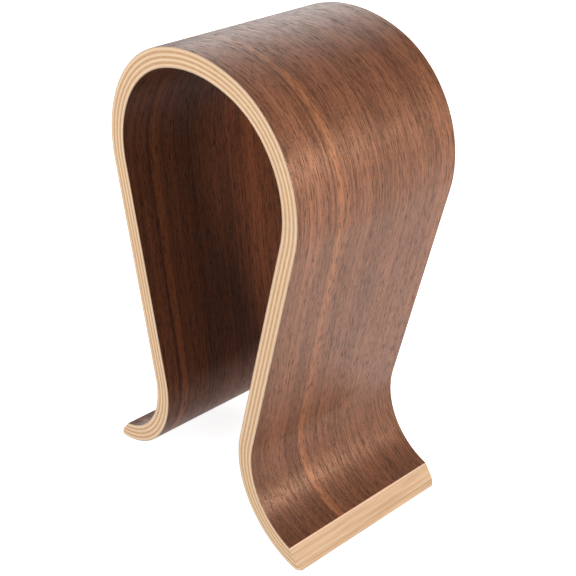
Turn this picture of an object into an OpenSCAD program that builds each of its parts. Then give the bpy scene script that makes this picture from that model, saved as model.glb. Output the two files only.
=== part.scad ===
// Headphone stand bent from one strip of laminated wood: a wide crown for the headband,
// two legs that lean in below the shoulders, and two feet that curl outwards.
// X runs from foot to foot, Y along the depth of the strip, Z up. The origin lies on the
// resting surface, midway between the feet and midway along the depth. Millimetres.

/* [Strip] */
// Depth of the strip, along Y
strip_depth = 100; // [60:1:160]
// Thickness of each walnut face veneer
veneer_t = 0.6; // [0.5:0.05:1]
// Thickness of each ply of the core
core_ply_t = 1.2; // [0.8:0.1:1.6]

/* [Bend] */
// Radius of the shallow crown, at mid-thickness
crown_r = 77; // [65:1:110]
// Half of the angle that the crown spans
crown_half_angle = 18.7; // [8:0.1:30]
// Radius of each shoulder, at mid-thickness
shoulder_r = 53.5; // [40:0.5:60]
// Inward lean of the straight legs from the vertical
leg_lean = 12.5; // [4:0.1:15]
// Length of the straight part of each leg
leg_length = 119.4; // [90:0.1:160]
// Radius of the outward curl of each foot, at mid-thickness
foot_r = 43.5; // [35:0.5:60]

/* [Foot end] */
// Fall of the foot's upper face where it ends, below the horizontal
foot_end_fall = 15; // [12:0.5:20]
// Slant of the end cut from the vertical
end_slant = 38; // [30:1:45]
// Radius of the lower arris of the end cut
arris_r = 0.4; // [0.3:0.1:1.5]
// Radius of the two upright corners of the end cut, seen from above
corner_r = 4; // [1:0.5:8]
// Depth sanded off the curl to give the foot a flat to rest on
sole_flat = 0.4; // [0.2:0.05:0.45]

/* [Hidden] */
$fn = 180;
core_plies = 7;
strip_t = 2 * veneer_t + core_plies * core_ply_t;
outer_face = strip_t / 2;
inner_face = -strip_t / 2;
// How far a cutting shape runs past what it cuts
past = 5;

// Centres of the bends and ends of the straight leg, on the +X side, as [x, z]
foot_z = foot_r + outer_face - sole_flat;
leg_low_z = foot_z + foot_r * sin(leg_lean);
leg_top_z = leg_low_z + leg_length * cos(leg_lean);
shoulder_c = [(crown_r - shoulder_r) * sin(crown_half_angle), leg_top_z + shoulder_r * sin(leg_lean)];
crown_c = [0, shoulder_c[1] - (crown_r - shoulder_r) * cos(crown_half_angle)];
leg_top = [shoulder_c[0] + shoulder_r * cos(leg_lean), leg_top_z];
leg_low = [leg_top[0] - leg_length * sin(leg_lean), leg_low_z];
foot_c = [leg_low[0] + foot_r * cos(leg_lean), foot_z];

// Turn between neighbouring points of a bend
bend_step = 3;
// Across the leg, pointing outwards
leg_out = [cos(leg_lean), -sin(leg_lean)];
// Where the end cut meets the foot's upper face
end_top = foot_c - (foot_r - outer_face) * [sin(foot_end_fall), cos(foot_end_fall)];
// Where the end cut meets the sole
end_low = [end_top[0] + end_top[1] * tan(end_slant), 0];
// Along the end cut, from the sole upwards
end_up = [-sin(end_slant), cos(end_slant)];
// Out of the end cut
end_out = [cos(end_slant), sin(end_slant)];
// From the lower corner to where the arris starts on each face
arris_back = arris_r / tan((90 - end_slant) / 2);

// Points along an arc, its first point left out
function arc_points(centre, r, from, to) =
    let (steps = max(1, round(abs(to - from) / bend_step)))
        [for (i = [1 : steps]) let (a = from + (to - from) * i / steps) centre + r * [cos(a), sin(a)]];

// One side of the curve that runs at a given distance outside mid-thickness, from the crown's top down
function side_curve(out) = concat(
    [crown_c + [0, crown_r + out]],
    arc_points(crown_c, crown_r + out, 90, 90 - crown_half_angle),
    arc_points(shoulder_c, shoulder_r + out, 90 - crown_half_angle, -leg_lean),
    [leg_low + out * leg_out],
    arc_points(foot_c, foot_r - out, 180 - leg_lean, 270 + foot_end_fall)
);

// The other side of the same curve, from its foot up to just short of the crown's top
function other_side(points) = [for (i = [len(points) - 1 : -1 : 1]) [-points[i][0], points[i][1]]];

function whole_curve(out) = concat(other_side(side_curve(out)), side_curve(out));

function backwards(points) = [for (i = [len(points) - 1 : -1 : 0]) points[i]];

// What the end cut, the sole and the arris between them take away
module end_waste() {
    polygon([
        end_low - 4 * past * end_up,
        end_low - 4 * past * end_up + 8 * past * end_out,
        end_top + past * end_up + 8 * past * end_out,
        end_top + past * end_up
    ]);
    translate([end_low[0] - 6 * past, -past])
        square([10 * past, past]);
    difference() {
        polygon([end_low, end_low + arris_back * end_up, end_low - [arris_back, 0]]);
        translate([end_low[0] - arris_back, arris_r])
            circle(arris_r);
    }
}

// The upright corners that are rounded off the end of one foot
module corner_waste() {
    for (side = [-1, 1])
        scale([1, side, 1])
            translate([end_low[0] - corner_r, strip_depth / 2 - corner_r, -past])
                linear_extrude(height = 4 * past)
                    difference() {
                        square(corner_r + past);
                        circle(corner_r);
                    }
}

// A whole layer of the strip, between two distances from mid-thickness
module layer(top, bottom) {
    difference() {
        rotate([90, 0, 0])
            linear_extrude(height = strip_depth, center = true)
                difference() {
                    polygon(concat(whole_curve(top), backwards(whole_curve(bottom))));
                    end_waste();
                    mirror([1, 0])
                        end_waste();
                }
        corner_waste();
        mirror([1, 0, 0])
            corner_waste();
    }
}

// Core plies are counted from the outer face, and their colour alternates
module core_ply(number) {
    top = outer_face - veneer_t - (number - 1) * core_ply_t;
    color(number % 2 == 1 ? "bisque" : "burlywood")
        layer(top, top - core_ply_t);
}

module outer_walnut_veneer() {
    color("saddlebrown")
        layer(outer_face, outer_face - veneer_t);
}

module core_ply_1() {
    core_ply(1);
}

module core_ply_2() {
    core_ply(2);
}

module core_ply_3() {
    core_ply(3);
}

module core_ply_4() {
    core_ply(4);
}

module core_ply_5() {
    core_ply(5);
}

module core_ply_6() {
    core_ply(6);
}

module core_ply_7() {
    core_ply(7);
}

module inner_walnut_veneer() {
    color("sienna")
        layer(inner_face + veneer_t, inner_face);
}

outer_walnut_veneer();
core_ply_1();
core_ply_2();
core_ply_3();
core_ply_4();
core_ply_5();
core_ply_6();
core_ply_7();
inner_walnut_veneer();
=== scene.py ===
"""Headphone stand bent from one laminated strip: walnut on both faces, pale plies between them.

Every layer of the strip is built as its own closed piece along the same bent profile as the CAD solids.
Each point of a piece carries its place in the flat strip, so that the grain follows the bends.
"""

import math

import bpy
import numpy as np
from mathutils import Matrix, Vector


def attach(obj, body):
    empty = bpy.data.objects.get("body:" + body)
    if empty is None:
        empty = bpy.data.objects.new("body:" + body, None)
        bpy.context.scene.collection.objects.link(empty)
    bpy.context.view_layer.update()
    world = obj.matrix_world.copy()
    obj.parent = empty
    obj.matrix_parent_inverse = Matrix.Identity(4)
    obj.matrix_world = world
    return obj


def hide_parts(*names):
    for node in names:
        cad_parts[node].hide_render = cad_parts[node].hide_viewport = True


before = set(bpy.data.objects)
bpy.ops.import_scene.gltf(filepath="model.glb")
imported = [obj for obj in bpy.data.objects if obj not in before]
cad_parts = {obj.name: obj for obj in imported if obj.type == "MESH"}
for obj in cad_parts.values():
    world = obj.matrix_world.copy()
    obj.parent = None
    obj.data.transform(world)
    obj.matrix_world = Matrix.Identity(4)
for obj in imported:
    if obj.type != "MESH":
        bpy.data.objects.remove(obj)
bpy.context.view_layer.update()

# The profile, in millimetres, with x across the legs and z up, for the leg on the +X side
STRIP_DEPTH = 100.0
VENEER_T = 0.6
PLY_T = 1.2
PLY_COUNT = 7
CROWN_R = 77.0
CROWN_HALF_ANGLE = math.radians(18.7)
SHOULDER_R = 53.5
LEG_LEAN = math.radians(12.5)
LEG_LENGTH = 119.4
FOOT_R = 43.5
FOOT_END_FALL = math.radians(15.0)
END_SLANT = math.radians(38.0)
ARRIS_R = 0.4
CORNER_R = 4.0
SOLE_FLAT = 0.4
OUTER_FACE = VENEER_T + PLY_COUNT * PLY_T / 2

# Rounding of the long edges of each veneer, and of the edges where two plies meet
FACE_EDGE_R = 0.3
PLY_EDGE_R = 0.05

# How finely the pieces are cut up. The stations are distances in from each side.
BEND_STEP = math.radians(1.5)
LEG_STEPS = 12
END_STEPS = 14
EDGE_STATIONS = [0.0, 0.015, 0.05, 0.12, 0.2, 0.3, 0.5, 0.8, 1.2, 1.7, 2.4, 3.2, 4.0]
INNER_STATIONS = 6
# How finely the end cut is followed, and how far it is followed along the cut and the sole
PATH_STEP = 0.02
ARRIS_POINTS = 120
CUT_LENGTH = 16.0
SOLE_LENGTH = 6.0
# Turn between two faces above which the edge between them is sharp
SHARP_ANGLE = math.radians(35)

# Sideways drift and slow wander of the walnut grain, and where its light stripe lies across it
GRAIN_SKEW = 0.05
GRAIN_WANDER = 6.0
STRIPE_PLACE = -28.0
# A dark line runs this far to the front of the stripe
DARK_LINE_GAP = 3.2
# Lengths along the strip between which painted shade darkens the veneer as the feet curl out
FOOT_PAINTED_SHADE = (205.0, 265.0)
# Level of the growth noise at which a thin dark line is drawn
GROWTH_LEVEL = 0.44
# Distance outside mid-thickness of the glue line that shows on the end of the foot at +X
GLUE_LINE_OUT = -1.8

# Colours of the walnut, from its darkest to its lightest wood
WALNUT_TONES = [
    (0.34, (0.058, 0.023, 0.013)),
    (0.42, (0.110, 0.044, 0.024)),
    (0.50, (0.162, 0.066, 0.035)),
    (0.58, (0.222, 0.092, 0.049)),
    (0.66, (0.292, 0.125, 0.068)),
]

# Depths below a face between which the veneer's cut end takes its paler colour
CUT_FADE = (0.16, 0.06)

# Height of the surface relief of each wood, in metres
WALNUT_RELIEF = 0.00004
PLY_RELIEF = 0.00006

MM = 0.001


def direction(angle):
    return np.array([math.cos(angle), math.sin(angle)])


FOOT_C_Z = FOOT_R + OUTER_FACE - SOLE_FLAT
LEG_LOW_Z = FOOT_C_Z + FOOT_R * math.sin(LEG_LEAN)
LEG_TOP_Z = LEG_LOW_Z + LEG_LENGTH * math.cos(LEG_LEAN)
SHOULDER_C = np.array([
    (CROWN_R - SHOULDER_R) * math.sin(CROWN_HALF_ANGLE),
    LEG_TOP_Z + SHOULDER_R * math.sin(LEG_LEAN),
])
CROWN_C = np.array([0.0, SHOULDER_C[1] - (CROWN_R - SHOULDER_R) * math.cos(CROWN_HALF_ANGLE)])
LEG_OUT = direction(-LEG_LEAN)
LEG_TOP = SHOULDER_C + SHOULDER_R * LEG_OUT
LEG_LOW = LEG_TOP + LEG_LENGTH * np.array([-math.sin(LEG_LEAN), -math.cos(LEG_LEAN)])
FOOT_C = LEG_LOW + FOOT_R * LEG_OUT
END_TOP = FOOT_C - (FOOT_R - OUTER_FACE) * np.array([math.sin(FOOT_END_FALL), math.cos(FOOT_END_FALL)])
END_LOW_X = END_TOP[0] + END_TOP[1] * math.tan(END_SLANT)
END_UP = np.array([-math.sin(END_SLANT), math.cos(END_SLANT)])

# Lengths along mid-thickness, from the top of the crown to the end of each stretch
CROWN_LENGTH = CROWN_R * CROWN_HALF_ANGLE
SHOULDER_LENGTH = SHOULDER_R * (math.pi / 2 - CROWN_HALF_ANGLE + LEG_LEAN)
FOOT_START = CROWN_LENGTH + SHOULDER_LENGTH + LEG_LENGTH
FOOT_FIRST_ANGLE = math.pi - LEG_LEAN


# ---------------------------------------------------------------- shape of the layers


def foot_place(point):
    """Length along the strip and distance outside mid-thickness of a point in the foot's curl."""
    arm = point - FOOT_C
    angle = math.atan2(arm[1], arm[0]) % (2 * math.pi)
    return FOOT_START + FOOT_R * (angle - FOOT_FIRST_ANGLE), FOOT_R - math.hypot(*arm)


def end_path(setback):
    """Points down the end cut, round the lower arris and in along the sole.

    The setback is how far the rounding of the foot's corner, seen from above, has come in here.
    """
    low = np.array([END_LOW_X, 0.0])
    corner = math.pi / 2 - END_SLANT
    back = ARRIS_R / math.tan(corner / 2)
    arris_c = low + np.array([-back, ARRIS_R])
    cut = [low + END_UP * along for along in np.arange(CUT_LENGTH, back, -PATH_STEP)]
    turn = np.linspace(END_SLANT, -math.pi / 2, ARRIS_POINTS)
    arris = [arris_c + ARRIS_R * direction(angle) for angle in turn]
    sole = [low - np.array([along, 0.0]) for along in np.arange(back, back + SOLE_LENGTH, PATH_STEP)]
    path = np.array(cut + arris + sole)
    path[:, 0] = np.minimum(path[:, 0], END_LOW_X - setback)
    return path


def end_face(path, top, bottom):
    """Points across a layer's end, from its outer surface to its inner one."""
    radius = np.hypot(*(path - FOOT_C).T)
    first = np.argmax(radius >= FOOT_R - top)
    last = len(radius) - 1 - np.argmax(radius[::-1] <= FOOT_R - bottom)
    picks = np.linspace(first, last, END_STEPS).round().astype(int)
    return path[picks]


def side_curve(out, end_point):
    """Points and lengths along one surface, from the top of the crown down to the end of the foot."""
    points, lengths = [], []

    def add_arc(centre, radius, mid_radius, start, stop, begin):
        steps = max(2, round(abs(stop - start) / BEND_STEP))
        for i in range(steps):
            angle = start + (stop - start) * i / steps
            points.append(centre + radius * direction(angle))
            lengths.append(begin + mid_radius * abs(angle - start))

    shoulder_start = math.pi / 2 - CROWN_HALF_ANGLE
    add_arc(CROWN_C, CROWN_R + out, CROWN_R, math.pi / 2, shoulder_start, 0.0)
    add_arc(SHOULDER_C, SHOULDER_R + out, SHOULDER_R, shoulder_start, -LEG_LEAN, CROWN_LENGTH)
    for i in range(LEG_STEPS):
        part = i / LEG_STEPS
        points.append(LEG_TOP + (LEG_LOW - LEG_TOP) * part + out * LEG_OUT)
        lengths.append(CROWN_LENGTH + SHOULDER_LENGTH + LEG_LENGTH * part)
    end_angle = math.atan2(*(end_point - FOOT_C)[::-1]) % (2 * math.pi)
    steps = round((3 * math.pi / 2 - FOOT_FIRST_ANGLE) / BEND_STEP)
    for i in range(steps):
        angle = FOOT_FIRST_ANGLE + (end_angle - FOOT_FIRST_ANGLE) * i / steps
        points.append(FOOT_C + (FOOT_R - out) * direction(angle))
        lengths.append(FOOT_START + FOOT_R * (angle - FOOT_FIRST_ANGLE))
    return np.array(points), np.array(lengths)


def rounding(inset, radius):
    """How far a rounded edge falls back at a given distance in from the side."""
    if inset >= radius:
        return 0.0
    return radius - math.sqrt(radius ** 2 - (radius - inset) ** 2)


def ring(top, bottom, inset, top_edge_r, bottom_edge_r):
    """One closed outline of a layer, at a given distance in from the side, with its strip places."""
    top -= rounding(inset, top_edge_r)
    bottom += rounding(inset, bottom_edge_r)
    end = end_face(end_path(rounding(inset, CORNER_R)), top, bottom)
    outer, outer_s = side_curve(top, end[0])
    inner, inner_s = side_curve(bottom, end[-1])
    places = np.array([foot_place(point) for point in end])
    side = np.vstack([outer, end, inner[::-1]])
    side_s = np.concatenate([outer_s, places[:, 0], inner_s[::-1]])
    side_o = np.concatenate([np.full(len(outer), top), places[:, 1], np.full(len(inner), bottom)])
    # The other leg is the mirror image, without the two points on the middle line
    mirror = side[1:-1][::-1] * np.array([-1.0, 1.0])
    points = np.vstack([side, mirror])
    lengths = np.concatenate([side_s, -side_s[1:-1][::-1]])
    outs = np.concatenate([side_o, side_o[1:-1][::-1]])
    return points, lengths, outs, len(outer)


def stations():
    """Distances in from the front side, across the whole depth."""
    last = EDGE_STATIONS[-1]
    middle = list(np.linspace(last, STRIP_DEPTH - last, INNER_STATIONS + 2)[1:-1])
    far = [STRIP_DEPTH - inset for inset in reversed(EDGE_STATIONS)]
    return EDGE_STATIONS + middle + far


def layer_piece(name, top, bottom, material, top_edge_r=PLY_EDGE_R, bottom_edge_r=PLY_EDGE_R):
    """A layer of the strip as one closed mesh that stands for the CAD node of the same name."""
    verts, places = [], []
    depth_stations = stations()
    for inset in depth_stations:
        side_inset = min(inset, STRIP_DEPTH - inset)
        points, lengths, outs, surface_points = ring(top, bottom, side_inset, top_edge_r, bottom_edge_r)
        y = inset - STRIP_DEPTH / 2
        for (x, z), length, out in zip(points, lengths, outs):
            verts.append((x * MM, y * MM, z * MM))
            places.append((length * MM, y * MM, out * MM))
    count = len(verts) // len(depth_stations)
    faces = []
    for j in range(len(depth_stations) - 1):
        here, there = j * count, (j + 1) * count
        for i in range(count):
            k = (i + 1) % count
            faces.append((here + i, here + k, there + k, there + i))
    # The flat sides: one strip of quads down each leg, then one face for each foot's end
    half = surface_points * 2 + END_STEPS
    for start, flip in ((0, False), (len(verts) - count, True)):
        for i in range(surface_points - 1):
            right = (start + i, start + half - 1 - i, start + half - 2 - i, start + i + 1)
            faces.append(right[::-1] if flip else right)
            top_a, top_b = (count - i) % count, count - i - 1
            low_a, low_b = half - 1 + i, half + i
            left = (start + top_a, start + top_b, start + low_b, start + low_a)
            faces.append(left[::-1] if flip else left)
        first = surface_points - 1
        right_end = [start + i for i in range(first, first + END_STEPS + 2)][::-1]
        left_first = half + surface_points - 2
        left_end = [start + i for i in range(left_first, left_first + END_STEPS + 2)][::-1]
        faces.append(right_end[::-1] if flip else right_end)
        faces.append(left_end[::-1] if flip else left_end)
    mesh = bpy.data.meshes.new(name)
    mesh.from_pydata(verts, [], faces)
    strip = mesh.attributes.new("strip", "FLOAT_VECTOR", "POINT")
    strip.data.foreach_set("vector", np.array(places, dtype=np.float32).ravel())
    mesh.materials.append(material)
    mesh.shade_smooth()
    mesh.set_sharp_from_angle(angle=SHARP_ANGLE)
    piece = bpy.data.objects.new(name + "_wood", mesh)
    bpy.context.scene.collection.objects.link(piece)
    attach(piece, "root")
    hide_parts(name)


# ---------------------------------------------------------------- materials


class Nodes:
    """Short forms for building one material's node tree."""

    def __init__(self, name):
        self.material = bpy.data.materials.new(name)
        self.material.use_nodes = True
        self.tree = self.material.node_tree
        self.tree.nodes.clear()

    def put(self, socket, value):
        if isinstance(value, bpy.types.NodeSocket):
            self.tree.links.new(value, socket)
        else:
            socket.default_value = value

    def add(self, kind, inputs=(), **settings):
        node = self.tree.nodes.new(kind)
        for key, value in settings.items():
            setattr(node, key, value)
        for key, value in dict(inputs).items():
            self.put(node.inputs[key], value)
        return node

    def math(self, operation, a, b=0.0):
        return self.add("ShaderNodeMath", {0: a, 1: b}, operation=operation).outputs[0]

    def plus(self, a, b):
        return self.math("ADD", a, b)

    def minus(self, a, b):
        return self.math("SUBTRACT", a, b)

    def times(self, a, b):
        return self.math("MULTIPLY", a, b)

    def distance(self, a, b):
        return self.math("ABSOLUTE", self.minus(a, b))

    def remap(self, value, low, high, to_low=0.0, to_high=1.0):
        """Smooth step of value from low..high to to_low..to_high."""
        node = self.add(
            "ShaderNodeMapRange",
            {"Value": value, "From Min": low, "From Max": high, "To Min": to_low, "To Max": to_high},
            interpolation_type="SMOOTHSTEP",
        )
        return node.outputs["Result"]

    def strip(self):
        """Places in the flat strip, in millimetres: along it, across its depth and through it."""
        place = self.add("ShaderNodeAttribute", attribute_name="strip")
        metres = place.outputs["Vector"]
        scaled = self.add("ShaderNodeVectorMath", {0: metres, "Scale": 1 / MM}, operation="SCALE")
        parts = self.add("ShaderNodeSeparateXYZ", {0: scaled.outputs[0]})
        return parts.outputs[0], parts.outputs[1], parts.outputs[2]

    def noise(self, x, y, z, detail=2.0, roughness=0.5):
        """Noise from 0 to 1, about one cycle for each unit of the given place."""
        place = self.add("ShaderNodeCombineXYZ", {0: x, 1: y, 2: z})
        node = self.add(
            "ShaderNodeTexNoise",
            {"Vector": place.outputs[0], "Scale": 1.0, "Detail": detail, "Roughness": roughness},
        )
        return node.outputs["Fac"]

    def mix(self, amount, a, b, blend="MIX"):
        node = self.add("ShaderNodeMix", data_type="RGBA", blend_type=blend)
        self.put(node.inputs[0], amount)
        self.put(node.inputs[6], a)
        self.put(node.inputs[7], b)
        return node.outputs[2]

    def ramp(self, value, stops):
        node = self.add("ShaderNodeValToRGB", {"Fac": value})
        elements = node.color_ramp.elements
        while len(elements) < len(stops):
            elements.new(0.5)
        for element, (position, colour) in zip(elements, stops):
            element.position = position
            element.color = (*colour, 1.0)
        return node.outputs["Color"]

    def facing_side(self):
        """1 where the surface faces along the depth of the strip, 0 where it doesn't."""
        normal = self.add("ShaderNodeNewGeometry").outputs["Normal"]
        along_y = self.add("ShaderNodeSeparateXYZ", {0: normal}).outputs[1]
        return self.remap(self.math("ABSOLUTE", along_y), 0.5, 0.85)

    def inside_thickness(self, out):
        """1 between the two face surfaces of the strip, where only a cut can show, 0 on the faces."""
        depth = self.math("ABSOLUTE", out)
        return self.remap(depth, OUTER_FACE - CUT_FADE[0], OUTER_FACE - CUT_FADE[1], 1.0, 0.0)

    def finish(self, colour, roughness, height, bump_distance, bump_strength, gloss):
        bump = self.add(
            "ShaderNodeBump",
            {"Height": height, "Distance": bump_distance, "Strength": bump_strength},
        )
        shader = self.add(
            "ShaderNodeBsdfPrincipled",
            {"Base Color": colour, "Roughness": roughness, "Normal": bump.outputs[0], **gloss},
        )
        self.add("ShaderNodeOutputMaterial", {"Surface": shader.outputs[0]})
        return self.material


def rgb(r, g, b):
    return (r, g, b, 1.0)


def walnut_material(name, shade_tint, shine):
    """Rift-cut walnut under a satin lacquer, with long bands, fine fibres and open pores.

    The factors on s, y and across in each noise are its cycles per millimetre, along the
    strip, across its depth and across the grain.
    """
    n = Nodes(name)
    s, y, o = n.strip()
    layer = n.times(o, 3.7)
    # The grain runs a little askew and wanders slowly
    wander = n.noise(n.times(s, 0.009), n.times(y, 0.02), layer, 1.0, 0.5)
    across = n.minus(y, n.times(s, GRAIN_SKEW))
    across = n.plus(across, n.times(n.minus(wander, 0.5), GRAIN_WANDER))
    broad = n.noise(n.times(across, 0.07), n.times(s, 0.004), layer, 2.0, 0.55)
    streaks = n.noise(n.times(across, 0.75), n.times(s, 0.004), layer, 3.0, 0.6)
    fibres = n.noise(n.times(across, 2.8), n.times(s, 0.025), layer, 3.0, 0.65)
    speckle = n.noise(n.times(across, 2.6), n.times(s, 0.9), layer, 3.0, 0.6)
    tone = n.plus(n.times(broad, 0.26), n.times(streaks, 0.26))
    tone = n.plus(tone, n.times(n.minus(fibres, 0.09), 0.54))
    tone = n.plus(tone, n.times(n.minus(speckle, 0.42), 0.42))
    # Painted shade: the veneer is drawn a little darker where the feet curl out, standing in for the
    # shade that falls there
    tone = n.minus(tone, n.remap(n.math("ABSOLUTE", s), *FOOT_PAINTED_SHADE, 0.0, 0.075))
    colour = n.ramp(tone, WALNUT_TONES)
    # One lighter, redder stripe runs the whole length of the veneer
    from_stripe = n.distance(across, STRIPE_PLACE)
    stripe = n.remap(from_stripe, 0.9, 2.8, 0.62, 0.0)
    colour = n.mix(stripe, colour, rgb(0.330, 0.132, 0.060))
    # A dark line follows it on the front side
    from_line = n.distance(across, STRIPE_PLACE - DARK_LINE_GAP)
    colour = n.mix(n.remap(from_line, 0.2, 0.9, 0.42, 0.0), colour, rgb(0.055, 0.022, 0.012))
    # A few thin dark growth lines
    lines = n.noise(n.times(across, 0.42), n.times(s, 0.005), n.plus(layer, 40.0), 2.0, 0.5)
    dark_lines = n.remap(n.distance(lines, GROWTH_LEVEL), 0.002, 0.018, 0.26, 0.0)
    colour = n.mix(dark_lines, colour, rgb(0.055, 0.020, 0.010))
    # Open pores: short dark dashes along the grain
    dashes = n.noise(n.times(across, 3.6), n.times(s, 0.16), layer, 2.0, 0.6)
    pores = n.remap(n.plus(dashes, n.remap(streaks, 0.35, 0.65, 0.03, -0.02)), 0.55, 0.61)
    colour = n.mix(n.times(pores, 0.95), colour, rgb(0.030, 0.011, 0.007))
    # Painted shade: the tint darkens the whole face colour; it is white on the outer face and dark on the
    # inner face
    colour = n.mix(1.0, colour, shade_tint, blend="MULTIPLY")
    # Where the veneer is cut through, on its edges and ends, it is pale
    cut = n.math("MAXIMUM", n.facing_side(), n.inside_thickness(o))
    colour = n.mix(cut, colour, rgb(0.60, 0.43, 0.30))
    # Faint ripples catch the light on the bends
    ripple = n.noise(n.times(s, 1.5), n.times(y, 0.8), layer, 2.0, 0.6)
    rough = n.plus(n.remap(speckle, 0.35, 0.65, 0.33, 0.47), n.times(pores, 0.25))
    height = n.plus(n.times(fibres, 0.3), n.times(pores, -0.8))
    height = n.plus(height, n.times(ripple, 2.4))
    gloss = {"Specular IOR Level": shine, "Specular Tint": rgb(1.0, 0.66, 0.50)}
    return n.finish(colour, rough, height, WALNUT_RELIEF, 0.6, gloss)


def core_material(name, along_grain, light, deep, end_light, end_deep):
    """A pale ply. Its fibres run along the strip or, in a cross ply, along the depth."""
    n = Nodes(name)
    s, y, o = n.strip()
    if along_grain:
        long_way, cross_way = s, y
    else:
        long_way, cross_way = y, s
    slow = n.times(long_way, 0.05)
    fibres = n.noise(slow, n.times(cross_way, 3.0), n.times(o, 3.0), 3.0, 0.6)
    bands = n.noise(n.times(long_way, 0.02), n.times(cross_way, 0.35), n.times(o, 0.9), 3.0, 0.6)
    tone = n.plus(n.times(fibres, 0.5), n.times(bands, 0.5))
    side_colour = n.mix(n.remap(tone, 0.36, 0.64), deep, light)
    # The slanted end cut shows streaks that run across the depth
    streaks = n.noise(n.times(y, 0.035), n.times(s, 1.1), n.times(o, 2.2), 3.0, 0.65)
    end_tone = n.plus(n.times(fibres, 0.25), n.times(streaks, 0.75))
    end_colour = n.mix(n.remap(end_tone, 0.38, 0.62), end_deep, end_light)
    # One glue line has darkened on the foot at +X, most of all towards the far side
    from_glue = n.distance(o, GLUE_LINE_OUT)
    glue = n.times(n.remap(from_glue, 0.04, 0.26, 1.0, 0.0), n.remap(y, -45.0, 45.0, 0.12, 0.75))
    glue = n.times(glue, n.remap(s, 200.0, 230.0))
    end_colour = n.mix(glue, end_colour, rgb(0.215, 0.165, 0.065))
    colour = n.mix(n.facing_side(), end_colour, side_colour)
    rough = n.remap(fibres, 0.3, 0.7, 0.5, 0.62)
    return n.finish(colour, rough, fibres, PLY_RELIEF, 0.5, {"Specular IOR Level": 0.3})


def floor_material():
    """Matt white paper."""
    n = Nodes("white_paper")
    place = n.add("ShaderNodeTexCoord").outputs["Object"]
    speckle = n.add("ShaderNodeTexNoise", {"Vector": place, "Scale": 900.0, "Detail": 2.0}).outputs["Fac"]
    shader = n.add(
        "ShaderNodeBsdfPrincipled",
        {"Base Color": rgb(0.65, 0.65, 0.65), "Roughness": 0.9, "Specular IOR Level": 0.1,
         "Emission Color": rgb(1.0, 1.0, 1.0), "Emission Strength": 0.90},
    )
    bump = n.add("ShaderNodeBump", {"Height": speckle, "Distance": 0.0001, "Strength": 0.2})
    n.put(shader.inputs["Normal"], bump.outputs[0])
    n.add("ShaderNodeOutputMaterial", {"Surface": shader.outputs[0]})
    return n.material


# ---------------------------------------------------------------- the stand

outer_walnut = walnut_material("walnut_outer_face", rgb(1.0, 1.0, 1.0), 0.68)
# The inner face is the same walnut, tinted darker as painted shade for the dark inside of the arch
inner_walnut = walnut_material("walnut_inner_face", rgb(0.66, 0.50, 0.40), 0.12)
light_ply = core_material(
    "birch_long_grain", True,
    rgb(0.91, 0.67, 0.44), rgb(0.82, 0.57, 0.36), rgb(0.56, 0.41, 0.29), rgb(0.45, 0.30, 0.185),
)
tan_ply = core_material(
    "birch_cross_grain", False,
    rgb(0.70, 0.42, 0.23), rgb(0.57, 0.33, 0.17), rgb(0.54, 0.385, 0.24), rgb(0.42, 0.26, 0.14),
)

layer_piece(
    "outer_walnut_veneer", OUTER_FACE, OUTER_FACE - VENEER_T,
    outer_walnut, top_edge_r=FACE_EDGE_R,
)
for number in range(1, PLY_COUNT + 1):
    ply_top = OUTER_FACE - VENEER_T - (number - 1) * PLY_T
    is_light = number % 2 == 1
    layer_piece(
        f"core_ply_{number}", ply_top, ply_top - PLY_T,
        light_ply if is_light else tan_ply,
    )
layer_piece(
    "inner_walnut_veneer", VENEER_T - OUTER_FACE, -OUTER_FACE,
    inner_walnut, bottom_edge_r=FACE_EDGE_R,
)


# ---------------------------------------------------------------- studio

scene = bpy.context.scene
scene.view_settings.view_transform = "Standard"
scene.view_settings.look = "None"

floor_mesh = bpy.data.meshes.new("floor")
reach = 20.0
floor_corners = [(-reach, -reach, 0), (reach, -reach, 0), (reach, reach, 0), (-reach, reach, 0)]
floor_mesh.from_pydata(floor_corners, [], [(0, 1, 2, 3)])
floor_mesh.materials.append(floor_material())
floor = bpy.data.objects.new("floor", floor_mesh)
scene.collection.objects.link(floor)
# The white floor is lit for the camera, and throws no light back up under the arch
floor.visible_diffuse = False

world = bpy.data.worlds.new("studio")
world.use_nodes = True
world.node_tree.nodes["Background"].inputs["Color"].default_value = (1.0, 1.0, 1.0, 1.0)
world.node_tree.nodes["Background"].inputs["Strength"].default_value = 0.15
scene.world = world


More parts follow.
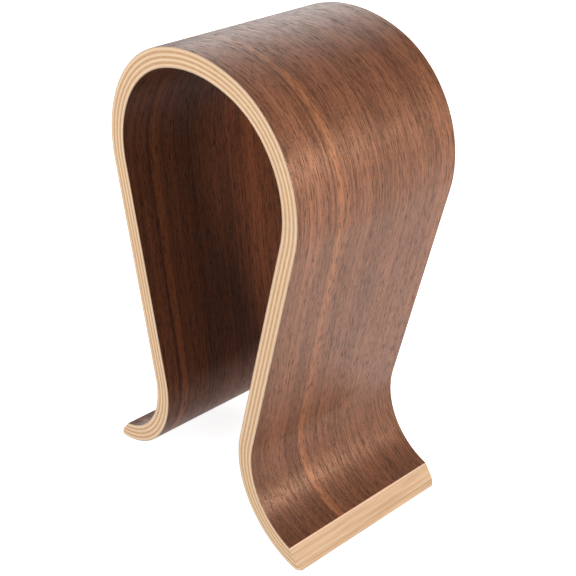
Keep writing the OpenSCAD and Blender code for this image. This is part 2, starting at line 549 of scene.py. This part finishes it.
def softbox(name, place, aim, width, height, power, colour=(1.0, 1.0, 1.0)):
    """A large soft area light at a place, facing a point."""
    light = bpy.data.lights.new(name, "AREA")
    light.shape = "RECTANGLE"
    light.size = width
    light.size_y = height
    light.energy = power
    light.color = colour
    holder = bpy.data.objects.new(name, light)
    holder.location = place
    holder.rotation_euler = (Vector(aim) - Vector(place)).to_track_quat("-Z", "Y").to_euler()
    scene.collection.objects.link(holder)
    return holder


softbox("back_right_box", (1.05, 0.46, 0.56), (0.02, 0.0, 0.14), 0.30, 0.30, 11.0, (1.0, 0.84, 0.70))
softbox("right_box", (1.15, -0.3, 0.62), (0.03, 0.0, 0.12), 0.8, 0.6, 9.6)
softbox("front_left_box", (-0.35, -1.25, 0.6), (0.0, 0.0, 0.12), 0.8, 0.8, 14.2)
softbox("top_box", (0.0, 0.1, 1.3), (0.0, 0.0, 0.1), 1.0, 1.0, 1.2)
softbox("back_left_box", (-0.8, 0.9, 0.6), (0.0, 0.0, 0.15), 0.8, 0.8, 5.4)

bounce_card = softbox("bounce_card", (0.0, 0.0, 0.003), (0.0, 0.0, 1.0), 0.05, 0.10, 0.04)
bounce_card.visible_camera = False
bounce_card.visible_glossy = False

# The camera looks at the middle of the stand from the right, in front and above
CAMERA_AZIMUTH = math.radians(46.65)
CAMERA_ELEVATION = math.radians(31.03)
CAMERA_ROLL = math.radians(1.40)
CAMERA_DISTANCE = 0.5983
CAMERA_AIM = Vector((0.0056, 0.0023, 0.1111))
CAMERA_LENS = 74.2

back = Vector((
    math.sin(CAMERA_AZIMUTH) * math.cos(CAMERA_ELEVATION),
    -math.cos(CAMERA_AZIMUTH) * math.cos(CAMERA_ELEVATION),
    math.sin(CAMERA_ELEVATION),
))
level = Vector((math.cos(CAMERA_AZIMUTH), math.sin(CAMERA_AZIMUTH), 0.0))
upright = back.cross(level)
right = level * math.cos(CAMERA_ROLL) + upright * math.sin(CAMERA_ROLL)
up = upright * math.cos(CAMERA_ROLL) - level * math.sin(CAMERA_ROLL)
camera_data = bpy.data.cameras.new("camera")
camera_data.lens = CAMERA_LENS
camera_data.sensor_width = 36.0
camera = bpy.data.objects.new("camera", camera_data)
camera_turn = Matrix((right, up, back)).transposed().to_4x4()
camera.matrix_world = Matrix.Translation(CAMERA_AIM + back * CAMERA_DISTANCE) @ camera_turn
scene.collection.objects.link(camera)
scene.camera = camera
